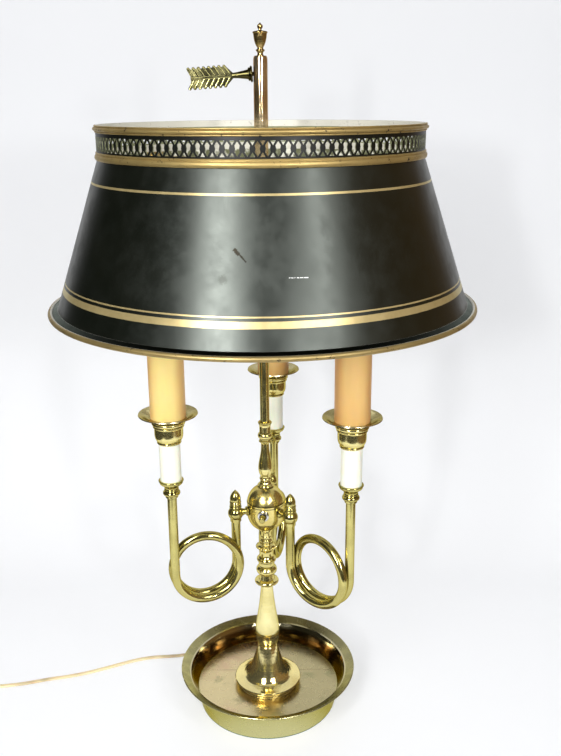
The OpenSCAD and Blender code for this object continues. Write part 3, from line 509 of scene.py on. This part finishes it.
def gallery_tole():
    """Black outside and an olive ground coat inside."""
    shader = Shader("gallery_tole")
    black = shader.mix(shader.noise(200, 3), (0.002, 0.003, 0.002), (0.006, 0.006, 0.004))
    olive = shader.mix(shader.noise(120, 3), (0.27, 0.28, 0.16), (0.15, 0.16, 0.075))
    shader.set(Base_Color=shader.mix(shader.inside(), black, olive), Roughness=0.36, Specular_IOR_Level=0.3)
    shader.bump(shader.noise(300, 4), 0.1, 0.0003)
    return shader.material


def gold_paint(name, bright, deep):
    """Old gold paint, chipped to the dark metal in small spots, and pale where it faces inwards."""
    shader = Shader(name)
    inside = shader.inside()
    chips = shader.span(shader.noise(210, 6, roughness=0.7), 0.60, 0.65)
    chips = shader.both(chips, shader.span(inside, 0, 1, 1, 0.3))
    colour = shader.mix(inside, shader.mix(shader.noise(60, 3), bright, deep), (0.58, 0.56, 0.48))
    shader.set(Base_Color=shader.mix(chips, colour, (0.05, 0.035, 0.02)),
               Metallic=shader.span(inside, 0, 1, 0.75, 0.1),
               Roughness=shader.span(shader.noise(120, 4), 0.3, 0.7, 0.38, 0.5))
    shader.bump(shader.noise(400, 3), 0.12, 0.0002)
    return shader.material


# ---- candles, cord and plain finishes ----

def candle_ivory():
    """Ivory tubes with a waxy depth."""
    shader = Shader("candle_ivory")
    shader.set(Base_Color=shader.mix(shader.noise(50, 3), (0.88, 0.86, 0.735), (0.85, 0.81, 0.66)),
               Roughness=0.36, Subsurface_Weight=0.2, Subsurface_Scale=0.004)
    shader.bump(shader.noise(300, 2), 0.05, 0.0002)
    return shader.material


def amber_resin(name, pale, deep):
    """Clouded amber resin, with painted shade deepening the flanks, where the wall is seen edge on."""
    shader = Shader(name)
    wash = shader.noise(1, 4, shader.stretched(90, 90, 14))
    across = shader.split(shader.normal)[0]
    # Painted shade: the sides that face left and right are deeper in colour.
    flank_shade = shader.span(shader.math("ABSOLUTE", across), 0.45, 1, 0, 0.7)
    flank_shade_tone = (deep[0] * 0.86, deep[1] * 0.70, deep[2] * 0.75)
    shader.set(Base_Color=shader.mix(flank_shade, shader.mix(wash, pale, deep), flank_shade_tone), Roughness=0.42,
               Subsurface_Weight=0.35, Subsurface_Scale=0.008, Subsurface_Radius=(1.0, 0.5, 0.2))
    shader.bump(shader.noise(160, 3), 0.06, 0.0004)
    return shader.material


def clear_gold():
    """The clear gold cover of a cord, smoky in stretches."""
    shader = Shader("clear_gold")
    smoky = shader.span(shader.noise(14, 3), 0.42, 0.58)
    shader.set(Base_Color=shader.mix(smoky, (0.80, 0.66, 0.38), (0.38, 0.29, 0.17)), Roughness=0.28,
               Subsurface_Weight=0.3, Subsurface_Scale=0.002, Coat_Weight=0.4)
    shader.bump(shader.noise(500, 2), 0.08, 0.0001)
    return shader.material


def simple(name, colour, rough, metal=0.0, grain=200, depth=0.0003, strength=0.1):
    """A plain moulded, plated or cast finish with a fine grain and a slight change of tone."""
    shader = Shader(name)
    shader.set(Base_Color=shader.mix(shader.noise(grain * 0.2, 4), colour, darkened(colour, 0.88)),
               Metallic=metal,
               Roughness=shader.span(shader.noise(grain * 0.5, 4), 0.3, 0.7, rough * 0.88, rough * 1.12))
    shader.bump(shader.noise(grain, 4), strength, depth)
    return shader.material


# ---- cord ----

UP = Vector((0, 0, 1))
CORD_W = 0.005
CORD_T = 0.0028
ROUTE_STEPS = 4                              # steps of the curve from one point of the route to the next
# The cord's middle from the base's back to the coil, in mm
CORD_ROUTE = (
    (-48, 61.5, 6.2), (-53, 68, 6.1), (-57, 72.5, 5), (-62, 75.5, 3.2), (-68, 76.5, 1.6), (-78, 76.5, 1.5),
    (-88, 75, 1.5), (-98, 72.5, 1.5), (-108, 70, 1.5), (-120, 68.5, 1.5), (-132, 67.5, 1.5),
    (-143, 66, 1.5), (-156, 62.5, 1.5), (-169, 57.5, 1.5), (-183, 51, 1.5), (-197, 44.5, 1.5),
    (-211, 38.5, 1.5), (-225, 33.5, 1.5), (-239, 29.5, 1.5), (-253, 26.5, 1.5), (-267, 22.5, 1.5),
    (-281, 18.5, 1.5), (-295, 15.5, 1.5), (-309, 13.5, 1.5), (-322, 12.5, 1.5), (-335, 12, 1.5),
)
COIL_CENTRE = Vector((-0.347, -0.0262, 0))
COIL_R = 0.028
COIL_TURNS = 8.3
COIL_STEPS = 36                              # steps in one turn
COIL_LEFT_OUT = 2                            # the coil's first points, where the route runs into it
COIL_LIFT = 0.0001                           # its clearance over the table
LAYER_PITCH = 0.0029                         # from one layer to the next
LAYER_TURNS = 3                              # turns side by side in a layer
TURN_PITCH = CORD_W * 0.96                   # from one of them to the next
RISE_TURNS = 1 / 6                           # the share of a turn in which the cord climbs to the next layer


def coil_points():
    """Three flat layers of three turns, from the outside in, then out, then in again."""
    points = []
    for i in range(int(COIL_TURNS * COIL_STEPS) + 1):
        turn = i / COIL_STEPS
        layer = int(turn // LAYER_TURNS)
        in_layer = turn % LAYER_TURNS
        across = in_layer - LAYER_TURNS / 2
        if layer % 2 == 0:
            across = -across
        radius = COIL_R + across * TURN_PITCH
        angle = math.pi / 2 + 2 * math.pi * turn
        rise = min(max((in_layer - LAYER_TURNS) / RISE_TURNS + 1, 0), 1)
        z = CORD_T / 2 + COIL_LIFT + (layer + rise) * LAYER_PITCH
        points.append(COIL_CENTRE + Vector((radius * math.cos(angle), radius * math.sin(angle), z)))
    return points


def curve_through(points, steps):
    """Points on a Catmull-Rom curve through the given ones."""
    out = []
    for i in range(len(points) - 1):
        before = points[max(i - 1, 0)]
        start = points[i]
        end = points[i + 1]
        after = points[min(i + 2, len(points) - 1)]
        for k in range(steps):
            t = k / steps
            out.append(0.5 * (2 * start + (end - before) * t
                              + (2 * before - 5 * start + 4 * end - after) * t ** 2
                              + (3 * start - before - 3 * end + after) * t ** 3))
    out.append(points[-1])
    return out


def twin_section():
    """The outline of a flat twin cord, with a groove along its middle, as (across, up) offsets."""
    corners = 16
    half_w = CORD_W / 2 - 0.00005
    groove_w = 0.0006
    groove_depth = 0.32
    section = []
    for k in range(corners):
        angle = 2 * math.pi * k / corners
        across = half_w * math.cos(angle)
        waist = 1 - groove_depth * math.exp(-(across / groove_w) ** 2)
        swell = math.copysign(abs(math.sin(angle)) ** 0.7, math.sin(angle))
        section.append((across, CORD_T / 2 * waist * swell))
    return section


def closed_tube(name, path, section):
    """A tube with closed ends that carries a section along a path."""
    verts = []
    faces = []
    count = len(section)
    for i, point in enumerate(path):
        ahead = (path[min(i + 1, len(path) - 1)] - path[max(i - 1, 0)]).normalized()
        across = UP.cross(ahead).normalized()
        up = ahead.cross(across)
        verts += [point + across * a + up * b for a, b in section]
        if i:
            base = (i - 1) * count
            faces += [(base + k, base + (k + 1) % count, base + count + (k + 1) % count, base + count + k)
                      for k in range(count)]
    faces.append(tuple(reversed(range(count))))
    faces.append(tuple(range(len(verts) - count, len(verts))))
    mesh = bpy.data.meshes.new(name)
    mesh.from_pydata(verts, [], faces)
    mesh.shade_smooth()
    piece = bpy.data.objects.new(name, mesh)
    bpy.context.scene.collection.objects.link(piece)
    return piece


def make_cord():
    """The cord from the base to the coil's end, in one piece."""
    route = curve_through([Vector(point) * 0.001 for point in CORD_ROUTE], ROUTE_STEPS)
    path = route + coil_points()[COIL_LEFT_OUT:]
    cord = closed_tube("lamp_cord", path, twin_section())
    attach(cord, "lamp")
    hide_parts("cord", "cord_coil")
    return cord


cord = make_cord()


# ---- finishes on the CAD nodes ----

KEY_SHAFT_X = -0.027                         # from here to the sleeve the arrow key is a turned shaft

stem = polished_brass("polished_brass", bright=(0.95, 0.86, 0.43), deep=(0.80, 0.69, 0.28), rough=0.11)
foot = polished_brass("foot_brass", bright=(0.98, 0.85, 0.40), deep=(0.84, 0.67, 0.26), rough=0.12,
                      edge=(0.60, 0.48, 0.20))
golden = polished_brass("golden_brass", bright=(0.84, 0.735, 0.31), deep=(0.66, 0.56, 0.19), rough=0.12)
horn = polished_brass("horn_brass", bright=(0.60, 0.53, 0.19), deep=(0.42, 0.36, 0.115), rough=0.11)
pan = polished_brass("pan_brass", bright=(0.72, 0.65, 0.40), deep=(0.50, 0.44, 0.25), rough=0.18)
# Painted shade along the seam, under and over the cap's lip.
body = polished_brass("body_brass", bright=(0.86, 0.73, 0.28), deep=(0.68, 0.55, 0.17), rough=0.19,
                      shade_lines_z=(SEAM_Z - SEAM_SHADE_OFFSET, SEAM_Z + CAP_LIP + SEAM_SHADE_OFFSET))
rosy = polished_brass("rosy_brass", bright=(0.90, 0.72, 0.46), deep=(0.66, 0.45, 0.22), rough=0.08,
                      edge=(0.34, 0.17, 0.06))
urn = polished_brass("urn_brass", bright=(0.52, 0.38, 0.155), deep=(0.36, 0.25, 0.085), rough=0.09,
                     edge=(0.34, 0.2, 0.07))
# Painted shade: the arrow key's shaft, beyond KEY_SHAFT_X, is painted dark in place of its highlight.
cast = polished_brass("cast_brass", bright=(0.38, 0.355, 0.16), deep=(0.22, 0.195, 0.075), rough=0.12,
                      crease=0.003, shade_free_ao=0.98, dark_x=KEY_SHAFT_X)
dull = polished_brass("dull_brass", bright=(0.66, 0.54, 0.30), deep=(0.50, 0.38, 0.18), rough=0.24)
dress(tray_brass(), "tray")
dress(foot, "trumpet_foot")
dress(stem, "tapered_stem")
dress(body, "cluster_body", "cluster_cap")
dress(rosy, "shade_sleeve")
dress(urn, "finial")
dress(cast, "arrow_key")
dress(dull, "spider", "spider_nut")

ivory = candle_ivory()
yellow = amber_resin("amber_yellow", (0.97, 0.71, 0.275), (0.93, 0.585, 0.205))
orange = amber_resin("amber_orange", (0.80, 0.50, 0.20), (0.72, 0.40, 0.13))
dark = simple("dark_phenolic", (0.03, 0.025, 0.02), 0.4)
dress(golden, "stem_collar", "beaded_spool", "necking", "vase_column", "shade_rod")
dress(horn, "arm_acorns", "switch_knob")
for side in ARMS:
    dress(horn, "arm_tube_" + side, "arm_ball_" + side, "candle_collar_" + side)
    dress(pan, "drip_pan_" + side)
    dress(golden, "candle_cup_" + side)
    dress(ivory, "candle_tube_" + side)
    dress(yellow if side == "left" else orange, "amber_sleeve_" + side)
    dress(dark, "socket_" + side)

dress(painted_tole(), "shade_cone")
dress(gallery_tole(), "gallery")
dress(gold_paint("gold_paint", (0.54, 0.405, 0.16), (0.35, 0.245, 0.085)), "top_roll", "middle_ring")
dress(gold_paint("worn_gold", (0.50, 0.38, 0.155), (0.27, 0.19, 0.07)), "rim_roll")

dress(dark, "switch_body")
dress(simple("nickel", (0.78, 0.77, 0.74), 0.18, metal=1.0), "switch_nut")
dress(simple("zinc", (0.60, 0.60, 0.58), 0.35, metal=1.0),
      "pipe_nuts", "threaded_pipe", "nipple_nuts", "candle_pipes")
dress(simple("cast_iron", (0.08, 0.08, 0.08), 0.7, metal=0.6, grain=120, depth=0.0008, strength=0.5),
      "base_weight")
dress(simple("green_felt", (0.05, 0.12, 0.07), 0.95, grain=900, depth=0.0006, strength=0.6), "base_felt")
dress(simple("brown_rubber", (0.22, 0.16, 0.09), 0.5), "cord_bushing")
dress(clear_gold(), "plug", cord)
